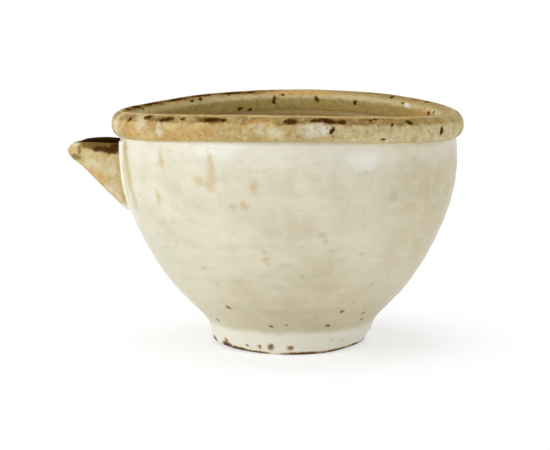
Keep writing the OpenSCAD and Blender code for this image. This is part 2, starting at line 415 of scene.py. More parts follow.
def spout_point(shape, wall, u, v):
    """Point of the spout's closed section: u goes round it, v from the wall to the tip of the nose."""
    s = min(v / NOSE_START, 1)
    half, within = (0, u * 2) if u < 0.5 else (1, u * 2 - 1)
    share = 2 * SKIN_SHARE
    if within < share:
        skins = spout_skins(shape, wall, abs(half - within / share), s)
        p = skins[half]
    else:
        skins = spout_skins(shape, wall, 1 - half, s)
        middle = (skins[0] + skins[1]) / 2
        swing = math.pi * (within - share) / (1 - share)
        arm = skins[half] - middle
        p = middle + arm * math.cos(swing) + Vector((0, 0, arm.length * math.sin(swing)))
    hump = LIP_HUMP * math.sin(math.pi * s**HUMP_PLACE) ** HUMP_SHARPNESS * ease(0, shape.nose_half, p.y)
    p.z += (hump - LIP_SAG * (1 - s) ** 2) * ease(*LIP_BAND, p.z / shape.lip_height)
    if v > NOSE_START:
        reach = math.sin(math.pi / 2 * (v - NOSE_START) / (1 - NOSE_START))
        low, high = spout_skins(shape, wall, 0.5, 1)[0], spout_skins(shape, wall, 0, 1)[0]
        middle = Vector((high.x, 0, low.z + NOSE_LEVEL * (high.z - low.z)))
        arm = p - middle
        arm.y *= rounding(reach, *NOSE_SIDES)
        arm.z *= rounding(reach, *(NOSE_TOP if arm.z > 0 else NOSE_UNDER))
        p = middle + arm - Vector((shape.nose_round * reach, 0, 0))
    return p


def lip_and_channel(u):
    """1 in the spout's channel, falling to 0 across its lips, for a place round its section."""
    return ease(SKIN_SHARE, 0.5, u) * (1 - ease(0.5 + SKIN_SHARE, 1, u))


# How far the bead goes past both lips, as a share of its length, and how unevenly it swells
BEAD_PAST = 0.06
BEAD_SWELL = 0.18
BEAD_LUMPS = 9

# Depth of the bead in the seam, length of the ribs it climbs, and fullness and share of its open side
BEAD_DEPTH = 0.4 * MM
BEAD_RIB = 25 * MM
BEAD_FULLNESS = 1.9
BEAD_SHARE = 0.75


def bead_point(shape, wall, u, v):
    """Point of the luting bead: u goes along the seam, v round the bead's section."""
    along = (1 + 2 * BEAD_PAST) * u - BEAD_PAST
    swell = 1 + BEAD_SWELL * noise.noise(Vector((BEAD_LUMPS * u, 0, 0)))
    y, z = seat_outline(shape, along)
    seam = on_wall(wall, y, z, -BEAD_DEPTH)
    inside = min(max(along, 0), 1)
    up = spout_skins(shape, wall, inside, swell * shape.bead_tall / BEAD_RIB)[0]
    up.z += z - seat_outline(shape, inside).y
    y, z = seat_outline(shape, along, swell * shape.bead_wide)
    side = on_wall(wall, y, z)
    corner = on_wall(wall, *seat_outline(shape, along)).lerp((up + side) / 2, BEAD_FULLNESS)
    if v > BEAD_SHARE:
        back = (v - BEAD_SHARE) / (1 - BEAD_SHARE)
        return side.lerp(seam, 2 * back) if back < 0.5 else seam.lerp(up, 2 * back - 1)
    t = v / BEAD_SHARE
    return up.lerp(corner, t).lerp(corner.lerp(side, t), t)


def wrapped(rows, columns, place, inside):
    """A closed skin: a grid whose columns go round and whose rows are placed by a function of both.

    The field inside, a function of how far round a point is, is stored with the points.
    """
    bm = bmesh.new()
    bmesh.ops.create_grid(bm, x_segments=columns, y_segments=rows, size=0.5)
    layer = bm.verts.layers.float.new("inside")
    for v in bm.verts:
        v[layer] = inside(v.co.x + 0.5)
        v.co = place(v.co.x + 0.5, v.co.y + 0.5)
    bmesh.ops.remove_doubles(bm, verts=bm.verts[:], dist=MERGE_DISTANCE)
    open_edges = [e for e in bm.edges if e.is_boundary]
    bmesh.ops.triangle_fill(bm, edges=open_edges, use_beauty=True)
    bmesh.ops.recalc_face_normals(bm, faces=bm.faces[:])
    return bm


# Share of the bead that lies on bare clay, and of the neck's radius where the cut starts
BEAD_ON_CLAY = 0.6
CUT_START = 0.75


def seat_cutter(shape):
    """Cutter that clears the glaze from under the spout and most of its bead."""
    bm = bmesh.new()
    grow = BEAD_ON_CLAY * shape.bead_wide
    outline = [seat_outline(shape, i / SEAT_STEPS, grow) for i in range(SEAT_STEPS + 1)]
    outline += [Vector((outline[-1].x, shape.lip_height)), Vector((outline[0].x, shape.lip_height))]
    near = -CUT_START * shape.neck_radius
    face = bm.faces.new([bm.verts.new((near, p.x, p.y)) for p in outline])
    moved = bmesh.ops.extrude_face_region(bm, geom=[face])["geom"]
    reach = Vector((-shape.spout_reach - near, 0, 0))
    bmesh.ops.translate(bm, vec=reach, verts=[v for v in moved if isinstance(v, bmesh.types.BMVert)])
    bmesh.ops.recalc_face_normals(bm, faces=bm.faces[:])
    return bm


# Heights between which each unevenness sets in, as shares of the whole height
WOBBLE_BAND = (0.1, 0.4)
SADDLE_BAND = (0.38, 1.0)
FOOT_BAND = (0, 0.075)

# How quickly the wobble changes round the wall and up it
WOBBLE_ROUND = 1.4
WOBBLE_UP = 2.1

# Middle and spread of the drawn belly, as shares of the whole height
BELLY_MIDDLE = 0.465
BELLY_SPREAD = 0.22

# Way to the rim's dip and how narrow it is, and how far to the right the foot is pared
DIP_WAY = Vector((-0.88, 0.47, 0))
DIP_NARROW = 14
PARED_BAND = (0.35, 0.8)


def thrown(p, shape, hand):
    """Moves a point of the true, turned shape to where the hands left it."""
    up = p.z / shape.rim_top
    round_axis = math.atan2(p.y, p.x)
    rise = ease(*SADDLE_BAND, up)
    way = Vector((math.cos(round_axis), math.sin(round_axis), 0))
    lumps = noise.noise(WOBBLE_ROUND * way + Vector((0, 0, WOBBLE_UP * up)))
    uneven = hand.wobble * ease(*WOBBLE_BAND, up) * lumps
    lift = rise * (hand.lift - hand.saddle * math.cos(2 * (round_axis + hand.twist)))
    lift -= rise * hand.dip * max(way.dot(DIP_WAY), 0) ** DIP_NARROW
    edge = 1 - ease(*FOOT_BAND, up)
    lift += edge * hand.foot_rise * way.x**2
    uneven -= edge * hand.pared * ease(*PARED_BAND, way.x)
    uneven -= hand.drawn * math.exp(-(((up - BELLY_MIDDLE) / BELLY_SPREAD) ** 2))
    return p + uneven * way + Vector((-hand.lean * up, 0, lift))


def dressed(bm, offset):
    """Moves every point of a bmesh along its normal, by millimetres worked out from its place."""
    bm.normal_update()
    for v in bm.verts:
        v.co += v.normal * (offset(v.co / MM) * MM)


def ripple(p, size, shift=0.0):
    """Smooth noise from -1 to 1 at a point, with lumps of a size, both in millimetres."""
    return noise.noise(p / size + Vector((shift, shift, shift)))


def marks(mesh, name, rows, turn, radius, level, scale=1.0):
    """Stores a field on the mesh that is 1 in the middle of each mark and falls to 0 at its edge.

    The points of the mesh are placed by a turn in degrees, a radius in millimetres and a level in units of
    scale millimetres. A row holds a mark's turn and level, and half its width and height in millimetres.
    """
    field = np.zeros(len(turn))
    for middle, height, wide, tall in rows:
        side = np.radians((turn - middle + 180) % 360 - 180) * radius
        far = np.hypot(side / wide, (level - height) * scale / tall)
        field = np.maximum(field, 1 - far)
    store(mesh, name, field)


def mark_all(mesh, kinds, *place):
    """Stores a field of marks on the mesh for each kind, which names its rows."""
    for name, rows in kinds.items():
        marks(mesh, name, rows, *place)


def store(mesh, name, values):
    """Stores one value for each point of the mesh."""
    layer = mesh.attributes.new(name, "FLOAT", "POINT")
    layer.data.foreach_set("value", values.astype(np.float32))


def places(mesh):
    """Coordinates of a mesh's points in millimetres, as three arrays."""
    found = np.zeros(len(mesh.vertices) * 3)
    mesh.vertices.foreach_get("co", found)
    return found.reshape(-1, 3).T / MM


def turns(mesh):
    """Turn of a mesh's points in degrees from the front towards the right, with radius and height."""
    x, y, z = places(mesh)
    return np.degrees(np.arctan2(x, -y)), np.hypot(x, y), z


def drift(mesh, reach, size):
    """Two arrays of smooth noise for a mesh's points, with its reach and lumps in millimetres."""
    points = [v.co / (size * MM) for v in mesh.vertices]
    return [
        reach * np.array([noise.noise(p + shift) + 0.5 * noise.noise(3 * p + shift) for p in points])
        for shift in (Vector((7, 0, 0)), Vector((0, 7, 0)))
    ]


def piece(context, name, bm, material, fields=None):
    """Makes the finished piece that stands for the solid of the same name."""
    shape, hand = context.scene.pourer_shape, context.scene.pourer_hand
    mesh = bpy.data.meshes.new(name)
    bm.to_mesh(mesh)
    bm.free()
    if fields:
        fields(mesh)
    for v in mesh.vertices:
        v.co = thrown(v.co, shape, hand)
    mesh.shade_smooth()
    mesh.materials.append(material)
    made = bpy.data.objects.new(name + "_surface", mesh)
    context.scene.collection.objects.link(made)
    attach(made, "root")
    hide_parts(name)


class Wire:
    """A socket of a material, on which arithmetic adds Math nodes."""

    def __init__(self, finish, socket):
        self.finish = finish
        self.socket = socket

    def math(self, operation, *values):
        """Result of a Math node on some values."""
        sockets = dict(enumerate(values))
        return self.finish.node("ShaderNodeMath", {"operation": operation}, sockets)

    def __add__(self, other):
        return self.math("ADD", self, other)

    def __radd__(self, other):
        return self.math("ADD", other, self)

    def __sub__(self, other):
        return self.math("SUBTRACT", self, other)

    def __rsub__(self, other):
        return self.math("SUBTRACT", other, self)

    def __mul__(self, other):
        return self.math("MULTIPLY", self, other)

    def __rmul__(self, other):
        return self.math("MULTIPLY", other, self)

    def __truediv__(self, other):
        return self.math("DIVIDE", self, other)

    def most(self, other):
        return self.math("MAXIMUM", self, other)

    def least(self, other):
        return self.math("MINIMUM", self, other)

    def soft(self, low, high):
        """Smooth step from 0 at low to 1 at high."""
        settings = {"interpolation_type": "SMOOTHSTEP"}
        return self.finish.node("ShaderNodeMapRange", settings, {0: self, 1: low, 2: high})


class Finish:
    """The nodes of one procedural material, or of the world."""

    def __init__(self, owner, base=None):
        self.owner = owner
        self.base = base
        owner.use_nodes = True
        self.tree = owner.node_tree
        self.tree.nodes.clear()
        self.place = self.node("ShaderNodeTexCoord", {}, {}, "Object")

    def node(self, kind, settings, sockets, output=0):
        """Adds a node, applies its settings, fills or links its sockets and returns one output."""
        made = self.tree.nodes.new(kind)
        for key, value in settings.items():
            setattr(made, key, value)
        for key, value in sockets.items():
            if isinstance(value, Wire):
                self.tree.links.new(value.socket, made.inputs[key])
            elif made.inputs[key].type == "RGBA":
                made.inputs[key].default_value = (*value, 1)
            else:
                made.inputs[key].default_value = value
        return Wire(self, made.outputs[output]) if made.outputs else None

    def stretch(self, by, shift=(0, 0, 0)):
        """Object coordinates in millimetres, stretched and shifted."""
        settings = {"operation": "MULTIPLY_ADD"}
        factor = tuple(b / MM for b in by)
        return self.node("ShaderNodeVectorMath", settings, {0: self.place, 1: factor, 2: shift})

    def clouds(self, size, shift=0, detail=3, rough=0.55, by=(1, 1, 1)):
        """Noise from 0 to 1 with lumps of a size in millimetres."""
        sockets = {
            "Vector": self.stretch(by, (shift, shift, shift)),
            "Scale": 1 / size,
            "Detail": detail,
            "Roughness": rough,
        }
        return self.node("ShaderNodeTexNoise", {}, sockets)

    def blend(self, a, b, factor):
        """Colour a turning into colour b."""
        sockets = {0: factor, 6: a, 7: b}
        return self.node("ShaderNodeMix", {"data_type": "RGBA"}, sockets, 2)

    def lay(self, colour, amount):
        """Lays a colour over those before it, by an amount from 0 to 1."""
        self.base = self.blend(self.base, colour, amount)

    def field(self, name):
        """A field stored on the mesh."""
        return self.node("ShaderNodeAttribute", {"attribute_name": name}, {}, "Fac")

    def ragged(self, name, size, amount, shift=11):
        """A stored field of marks, made uneven inside their edges by noise of a size in millimetres."""
        field = self.field(name)
        return field + amount * (self.clouds(size, shift, detail=4) - 0.5) * field.soft(0, 0.2)

    def patch(self, name, size, amount, low=0.0, high=0.6):
        """1 inside the uneven marks of a stored field and 0 outside them."""
        return self.ragged(name, size, amount).soft(low, high)

    def near(self, spots, wander, size):
        """1 in the middle of the closest spot, 0 at its edge and less outside, with edges that wander."""
        sockets = {"Vector": self.stretch((1, 1, 1)), "Scale": 1 / size}
        push = self.node("ShaderNodeTexNoise", {}, sockets, "Color")
        settings = {"operation": "MULTIPLY_ADD"}
        spread = (2 * wander, 2 * wander, 2 * wander)
        start = self.stretch((1, 1, 1), (-wander, -wander, -wander))
        moved = self.node("ShaderNodeVectorMath", settings, {0: push, 1: spread, 2: start})
        closest = None
        for middle, wide, tall in spots:
            shrink = (1 / wide, 1 / wide, 1 / tall)
            offset = tuple(-m * s for m, s in zip(middle, shrink))
            arm = self.node("ShaderNodeVectorMath", settings, {0: moved, 1: shrink, 2: offset})
            far = self.node("ShaderNodeVectorMath", {"operation": "LENGTH"}, {0: arm}, "Value")
            closest = closest.least(far) if closest else far
        return 1 - closest

    def specks(self, size, radius, share):
        """Small dots in some of the cells of a size in millimetres."""
        sockets = {"Vector": self.stretch((1, 1, 1)), "Scale": 1 / size}
        distance = self.node("ShaderNodeTexVoronoi", {}, sockets, "Distance")
        cell = self.node("ShaderNodeTexVoronoi", {}, sockets, "Color")
        pick = self.node("ShaderNodeSeparateColor", {}, {0: cell}, 0)
        ragged = distance + 0.25 * (self.clouds(size / 4, 31) - 0.5)
        return (1 - ragged.soft(radius * 0.4, radius)) * pick.soft(share - 0.01, share + 0.01)

    def across(self):
        """Distance to the right of the bowl's axis in millimetres."""
        return self.node("ShaderNodeSeparateXYZ", {}, {0: self.place}, 0) / MM

    def height(self):
        """Height above the table in millimetres."""
        return self.node("ShaderNodeSeparateXYZ", {}, {0: self.place}, 2) / MM

    def bumps(self, height, distance):
        """Normal of a surface raised by a height from 0 to 1, with a distance in millimetres."""
        return self.node("ShaderNodeBump", {}, {"Height": height, "Distance": distance * MM}, "Normal")

    def done(self, sockets):
        """Adds the shader with the colours laid on and returns the material."""
        sockets = {"Base Color": self.base, **sockets}
        shader = self.node("ShaderNodeBsdfPrincipled", {}, sockets)
        self.node("ShaderNodeOutputMaterial", {}, {"Surface": shader})
        return self.owner


def glaze(name, first):
    """The material of a glaze or of the clay, with the colour that is laid on first."""
    return Finish(bpy.data.materials.new(name), first)


def white_glaze(colours, amber, flecks, rust):
    """Cream-white slip under clear glaze, stained and spotted by iron, with painted shade and painted
    highlights.
    """
    f = glaze("white_glaze", colours.cream)
    z = f.height()
    f.lay(colours.blush, f.clouds(20, 5, by=(0.8, 0.8, 1.5)).soft(0.44, 0.66) * 0.4)
    f.lay(colours.ash, f.clouds(13, 40, by=(0.7, 0.7, 1.6)).soft(0.46, 0.66) * 0.42)
    # Olive stain in clouds where the glaze is thin, with painted shade that darkens the right side and the
    # lower wall, the lower wall more on the right
    thin_glaze_and_shade = f.clouds(26, 70).soft(0.48, 0.7) * 0.35
    thin_glaze_and_shade = thin_glaze_and_shade.most(f.across().soft(12, 62) * 0.97)
    thin_glaze_and_shade = thin_glaze_and_shade.most((1 - z.soft(18, 48)) * (0.2 + 0.42 * f.across().soft(-45, 5)))
    f.lay(colours.stain_and_shade, thin_glaze_and_shade * (0.55 + 0.9 * f.clouds(9, 22)))
    f.lay(colours.stain_and_shade, f.patch("blush", 6, 0.9, 0, 1) * 0.5)
    left = 1 - f.across().soft(-55, -15)
    f.lay(colours.ash, left * (1 - z.soft(36, 74)) * 0.6)
    edge = z + 7 * (f.clouds(7, 80, by=(1, 1, 0.3)) - 0.5)
    low = z + 2.4 * (f.clouds(7, 66) - 0.5)
    foot = 1 - low.soft(6.9, 10.5)
    thick = edge.soft(69, 80) * 0.55
    f.lay(colours.pale, thick.most(foot))
    # Painted highlights under the rim where the left and right windows reflect, in snow white
    f.lay(colours.snow, f.patch("pale", 5, 0.9, 0, 0.8) * 0.8)
    warm = foot * (0.05 + 0.2 * f.across().soft(-20, 25))
    f.lay(colours.cream, warm * f.clouds(6, 37).soft(0.3, 0.6))
    runs = f.clouds(5, 90, by=(1, 1, 0.25)).soft(0.46, 0.7) * z.soft(40, 70)
    f.lay(colours.pale, runs * 0.18)
    # Olive on the trimmed heel band, weaker on the left, and on the strip along the right of the spout's
    # bead: partly stain, partly painted shade where the heel faces down and beside the raised bead
    heel = low.soft(7.7, 10.7) * (1 - (z + 2 * (f.clouds(8, 3) - 0.5)).soft(17, 21))
    heel = heel * (0.3 + 0.7 * f.across().soft(-34, -8))
    f.lay(colours.stain_and_shade, heel.most(f.patch("seam", 3, 0.9) * 2.2) * 0.4)
    f.lay(colours.stain_and_shade, f.patch("shade", 3, 0.7, 0, 1) * 0.75)
    mottle = f.clouds(4, 17, detail=5, rough=0.65, by=(0.6, 0.6, 1.5))
    f.lay(colours.stain_and_shade, mottle.soft(0.5, 0.74) * (0.3 - 0.26 * foot))
    f.lay(colours.pale, (1 - mottle.soft(0.3, 0.5)) * 0.22)
    fine = f.clouds(1.7, 7, detail=4)
    f.lay(colours.stain_and_shade, fine.soft(0.5, 0.72) * 0.12)
    f.lay(colours.pale, f.clouds(2.3, 55, detail=4).soft(0.54, 0.72) * 0.12)
    gold = f.near(amber, 2.2, 6).soft(0, 0.8) * (0.6 + 0.5 * f.clouds(2.5, 33).soft(0.3, 0.65))
    f.lay(colours.amber, gold * 0.6)
    smudge = f.near(flecks, 1.3, 2.2).soft(0, 0.8)
    smudge = smudge.most(f.specks(9, 0.16, 0.72) * 0.5)
    f.lay(colours.slate, smudge * 0.3)
    iron = f.near(rust, 0.7, 1.6)
    f.lay(colours.stain_and_shade, iron.soft(-0.5, 0.4) * 0.6)
    halo = f.blend(colours.bark, colours.rust, foot)
    f.lay(halo, iron.soft(0, 0.5) * 0.8)
    f.lay(colours.umber, iron.soft(0.35, 0.85) * (0.75 - 0.25 * foot))
    bare = f.ragged("bare", 1.5, 0.9, 25)
    f.lay(colours.amber, bare.soft(0, 0.2) * 0.8)
    f.lay(colours.rust, bare.soft(0.1, 0.35) * 0.8)
    f.lay(colours.umber, bare.soft(0.25, 0.6) * 0.9)
    relief = f.clouds(4, 60) + 0.35 * fine - 0.6 * iron.soft(0.3, 0.7)
    return f.done(
        {
            "Roughness": 0.32 + 0.14 * f.clouds(9, 20) + 0.3 * bare.soft(0.2, 0.5),
            "Specular IOR Level": 0.35,
            "Normal": f.bumps(relief, 0.14),
            "Coat Weight": 0.12,
            "Coat Roughness": 0.2,
        }
    )


def slip_glaze(colours):
    """Thick pale glaze on the bead of slip round the spout."""
    f = glaze("slip_glaze", colours.snow)
    fade = 1 - f.height().soft(52, 62)
    f.lay(colours.cream, f.clouds(4, 8).soft(0.4, 0.7) * 0.5)
    f.lay(colours.stain_and_shade, fade * f.clouds(3, 18).soft(0.35, 0.65) * 0.25)
    f.lay(colours.ash, f.clouds(1.8, 28, detail=4).soft(0.5, 0.7) * 0.3)
    return f.done(
        {
            "Roughness": 0.34,
            "Specular IOR Level": 0.35,
            "Normal": f.bumps(f.clouds(2.5, 60), 0.12),
        }
    )


def rim_glaze(colours):
    """Thin ochre glaze that breaks to burnt brown along the crest and pools pale below it, with painted
    light and shade in places.
    """
    f = glaze("rim_glaze", colours.straw)
    roll = f.field("roll") + 38 * (f.clouds(6, 44, detail=4) - 0.5)
    right = f.across().soft(-15, 35)
    cloud, fine = f.clouds(8, 3, detail=4), f.clouds(1.8, 9, detail=4)
    f.lay(colours.ochre, cloud.soft(0.36, 0.66) * (0.8 - 0.4 * right))
    f.lay(colours.sand, (1 - roll.soft(12, 30)) * (0.2 + 0.7 * right))
    f.lay(colours.ochre, f.clouds(3, 25, detail=4).soft(0.45, 0.7) * 0.6)
    shoulder = roll.soft(18, 32) * (1 - roll.soft(58, 72))
    shoulder = shoulder * (0.4 + 0.5 * f.clouds(5, 50, detail=4).soft(0.35, 0.65))
    f.lay(colours.bark, shoulder * (1 - 0.45 * f.across().soft(30, 60)))
    f.lay(colours.orange, f.patch("orange", 3, 1) * 0.6)
    inner = roll.soft(85, 115)
    f.lay(colours.olive, inner * (0.6 + 0.4 * cloud))
    f.lay(colours.bark, roll.soft(70, 90) * (1 - roll.soft(116, 142)) * 0.5)
    # Inner side of the roll: the sand band below the crest is a painted highlight, moss below it is painted
    # shade, and straw lightens the roll's underside against its shade
    deep = f.field("roll") + 20 * (f.clouds(4, 64, detail=4) - 0.5)
    band = deep.soft(132, 148) * (1 - deep.soft(156, 172))
    f.lay(colours.sand, band * (0.1 + 0.5 * f.across().soft(-60, -20)))
    f.lay(colours.moss, deep.soft(154, 170))
    f.lay(colours.straw, deep.soft(168, 215) * 0.7)
    f.lay(colours.sand, f.clouds(3, 71, detail=4).soft(0.5, 0.72) * inner * 0.25)
    # Orange glow marks on the far inner rim, partly painted light on the far inside
    f.lay(colours.orange, f.patch("glow", 4, 0.5) * 0.75)
    pool = f.blend(colours.cream, colours.pale, right)
    f.lay(pool, f.patch("pale", 2.4, 0.9, 0, 0.8) * (0.5 + 0.4 * right))
    f.lay(colours.bark, fine.soft(0.48, 0.7) * 0.36)
    grain = f.clouds(1.9, 88, detail=4).soft(0.52, 0.72)
    f.lay(colours.cream, grain * (1 - inner) * 0.33)
    f.lay(colours.bark, f.patch("crest", 2.5, 1, 0, 0.5) * 0.7)
    burn = f.ragged("burnt", 1.7, 1.1, 70)
    f.lay(colours.bark, burn.soft(0.02, 0.25) * 0.85)
    f.lay(colours.burnt, burn.soft(0.08, 0.6) * (0.75 + 0.35 * fine))
    f.lay(colours.burnt, f.specks(6, 0.12, 0.65) * 0.35)
    # Painted shade along the rim's lower edge, in the crease over the wall
    f.lay(colours.stain_and_shade, (1 - roll.soft(-72, -44)) * 0.5)
    relief = f.clouds(3.2, 60) + 0.4 * fine - 0.5 * burn.soft(0.1, 0.5)
    return f.done(
        {
            "Roughness": 0.36 + 0.2 * f.clouds(6, 20),
            "Specular IOR Level": 0,
            "Normal": f.bumps(relief, 0.2),
            "Coat Weight": 0.15 * (1 - burn.soft(0, 0.15)) * (1 - f.field("crest").soft(0, 0.2)),
            "Coat Roughness": 0.25,
        }
    )


def inner_glaze(colours):
    """Thin grey-olive glaze inside the bowl, pooled and glossier in the bottom, with painted shade under the
    rim.
    """
    f = glaze("inner_glaze", colours.olive)
    z = f.height()
    f.lay(colours.straw, f.clouds(14, 5).soft(0.42, 0.7) * 0.5)
    f.lay(colours.moss, (1 - z.soft(14, 34)) * (0.3 + 0.5 * f.clouds(8, 33)))
    f.lay(colours.ash, f.clouds(9, 80, by=(1, 1, 0.25)).soft(0.45, 0.8) * 0.4)
    # Painted shade on the upper inner wall, under the overhang of the rim
    f.lay(colours.moss, z.soft(50, 72) * 0.9)
    f.lay(colours.bark, z.soft(66, 77) * 0.35)
    fine = f.clouds(2.1, 9, detail=4)
    f.lay(colours.bark, fine.soft(0.5, 0.74) * 0.4)
    dots = f.specks(7, 0.17, 0.6)
    f.lay(colours.burnt, dots * 0.8)
    return f.done(
        {
            "Roughness": 0.24 + 0.16 * z.soft(14, 40) + 0.1 * f.clouds(7, 20),
            "Specular IOR Level": 0.35,
            "Normal": f.bumps(f.clouds(4, 60) + 0.3 * fine - 0.5 * dots, 0.16),
            "Coat Weight": 0.12,
            "Coat Roughness": 0.2,
        }
    )


def spout_glaze(colours):
    """Khaki glaze on the outside of the spout, scorched brown on its lips, with painted shade in its
    channel.
    """
    f = glaze("spout_glaze", colours.straw)
    fine = f.clouds(1.5, 9, detail=4)
    f.lay(colours.sand, 0.35 + 0.45 * f.clouds(5, 2, detail=4).soft(0.4, 0.65))
    f.lay(colours.ochre, f.clouds(3, 40, detail=4).soft(0.35, 0.65) * 0.42)
    f.lay(colours.orange, f.patch("orange", 2.2, 1.2) * 0.45)
    # Pale patches, partly painted light: a highlight at the nose and a lightened patch where the side near
    # the bead is shaded
    f.lay(colours.cream, f.patch("pale", 2.2, 1.3, 0, 1) * 0.5)
    f.lay(colours.bark, f.patch("smoke", 1.8, 1.2) * 0.75)
    f.lay(colours.bark, fine.soft(0.5, 0.72) * 0.18)
    scorch = f.ragged("scorch", 2.2, 0.6, 70)
    f.lay(colours.bark, scorch.soft(0, 0.4) * 0.95)
    f.lay(colours.burnt, scorch.soft(0.25, 0.8) * 0.4)
    char = f.ragged("char", 2, 1, 75).soft(0.02, 0.55)
    f.lay(colours.burnt, char * 0.85)
    # Painted shade: dark umber inside the spout's channel
    f.lay(colours.umber, f.field("inside").soft(0.3, 0.9) * 0.9)
    slip = f.height() + 2 * (f.clouds(2.5, 14) - 0.5)
    f.lay(colours.pale, (1 - slip.soft(52, 54.5)) * 0.9)
    relief = f.clouds(3, 60) + 0.4 * fine
    return f.done(
        {
            "Roughness": 0.4 + 0.2 * f.clouds(5, 20),
            "Specular IOR Level": 0,
            "Normal": f.bumps(relief, 0.18),
            "Coat Weight": 0.1 * (1 - scorch.soft(0, 0.2)),
            "Coat Roughness": 0.3,
        }
    )


def bare_clay(colours):
    """Coarse fired clay, rusty brown with dark grit, and glazed brown where the sake runs out."""
    f = glaze("bare_clay", colours.clay)
    f.lay(colours.umber, f.clouds(9, 5).soft(0.45, 0.75) * 0.5)
    f.lay(colours.stain_and_shade, f.clouds(3, 17, detail=4).soft(0.5, 0.72) * 0.4)
    grit = f.specks(2.2, 0.2, 0.4)
    f.lay(colours.umber, grit * 0.6)
    f.lay(colours.bark, f.height().soft(40, 45) * 0.8)
    settings = {"wave_type": "RINGS", "rings_direction": "Z"}
    sockets = {"Vector": f.stretch((1, 1, 1)), "Scale": 0.22, "Distortion": 1.5, "Detail": 2}
    rings = f.node("ShaderNodeTexWave", settings, sockets, 1)
    relief = f.clouds(1.4, 60, detail=4) + 0.5 * rings + grit
    return f.done({"Roughness": 0.8, "Normal": f.bumps(relief, 0.25)})


# Each mark on the white coat: turn from the front in degrees, then height, half its width and half its
# height in millimetres
AMBER_RUNS = [
    (-26, 72, 2, 9), (-26, 67, 4, 4.5), (-30, 67, 4, 2.5), (-50, 60, 2, 7), (-11, 66, 2.4, 4),
    (-15, 59, 2.6, 4), (-46, 75, 2, 5), (-69, 66, 3, 10), (-72, 76, 3, 6), (-9, 40, 1.2, 5),
    (96, 70, 2, 8), (131, 64, 3, 7), (-138, 68, 2, 9), (170, 72, 3, 5),
]
GREY_FLECKS = [
    (-9.5, 43, 0.9, 3), (-8.8, 38, 1.1, 3), (11, 49, 2.4, 2), (12, 47, 1.6, 3), (15, 43, 1.8, 1.2),
    (5, 33, 1.8, 1.6), (27, 41, 1.6, 2), (37, 28, 2, 1.4), (32, 21.2, 1.2, 1), (-19, 59, 2, 1.6),
    (-45, 52, 1.8, 1.3), (-46, 44, 2.6, 1), (-55, 41, 1.6, 1.4), (-37, 35, 1.6, 1.4),
    (-33, 29, 1.8, 1.4), (36, 62, 3, 3), (29, 5.2, 2, 0.8), (38, 4.4, 2.4, 0.8), (46, 3.4, 2, 0.8),
    (120, 60, 2, 2), (-110, 50, 2, 2), (150, 35, 2, 2), (-160, 45, 2, 2),
]
RUST_SPOTS = [
    (-34, 18.7, 1.4, 1.3), (-66, 14.6, 1.2, 0.9), (-54, 11.5, 1.2, 1.1), (-13, 11.6, 1.2, 0.9),
    (-3, 12.2, 0.8, 0.7), (23, 11.4, 1.3, 0.9), (28, 17.4, 1.2, 1.1), (45, 15.4, 1.2, 1.2),
    (49, 12.3, 1, 0.8), (76, 9, 1.4, 1), (-23, 2.8, 1, 0.8), (-15, 2.9, 1.5, 1.5), (-1, 2.9, 1.5, 1.2),
    (-33, 2.6, 0.8, 0.7), (-54, 3, 1.6, 1.2), (101, 14, 1.4, 1.2), (128, 18, 1.3, 1.2),
    (152, 11, 1.5, 1.1), (-170, 15, 1.4, 1.3), (-140, 12, 1.4, 1.1), (-108, 17, 1.3, 1.2),
    (-92, 10, 1.3, 1),
]
COAT_MARKS = {
    "blush": [
        (12, 36, 16, 15), (13, 29, 8, 6), (43, 72, 9, 9), (51, 66, 8, 10), (-22, 30, 8, 5),
        (-23, 26, 7, 5), (-4, 18, 12, 2.4), (2, 50, 15, 11), (62, 50, 12, 18), (110, 45, 16, 14),
        (-120, 40, 14, 12), (160, 55, 16, 16),
    ],
    # Painted highlights under the rim where the windows reflect
    "pale": [(-24, 78, 13, 4.5), (-28, 77.5, 7, 3), (-19, 79.4, 10, 1.8), (24, 75, 11, 4.5)],
    "bare": [
        (-77, 0.8, 5, 1.6), (-54, 0.9, 4, 1.7), (-42, 0.4, 7, 1.3), (-26, 0.2, 7, 1), (8, 0.2, 11, 1.3),
        (35, 0.3, 11, 1), (54, 0.3, 9, 1.1), (80, 0.4, 10, 1.4), (112, 0.3, 13, 1.2),
        (146, 0.4, 12, 1.5), (178, 0.3, 13, 1.2), (-148, 0.4, 12, 1.4), (-112, 0.3, 14, 1.2),
    ],
    # Olive strip along the right of the spout's bead, partly stain and partly painted shade
    "seam": [(-71, 77, 3.4, 5), (-70.5, 72, 3.6, 7), (-69, 65, 4, 8), (-68, 58, 4, 6)],
    "shade": [(0, 81.2, 900, 1.6), (50, 81.2, 40, 2.8)],
}

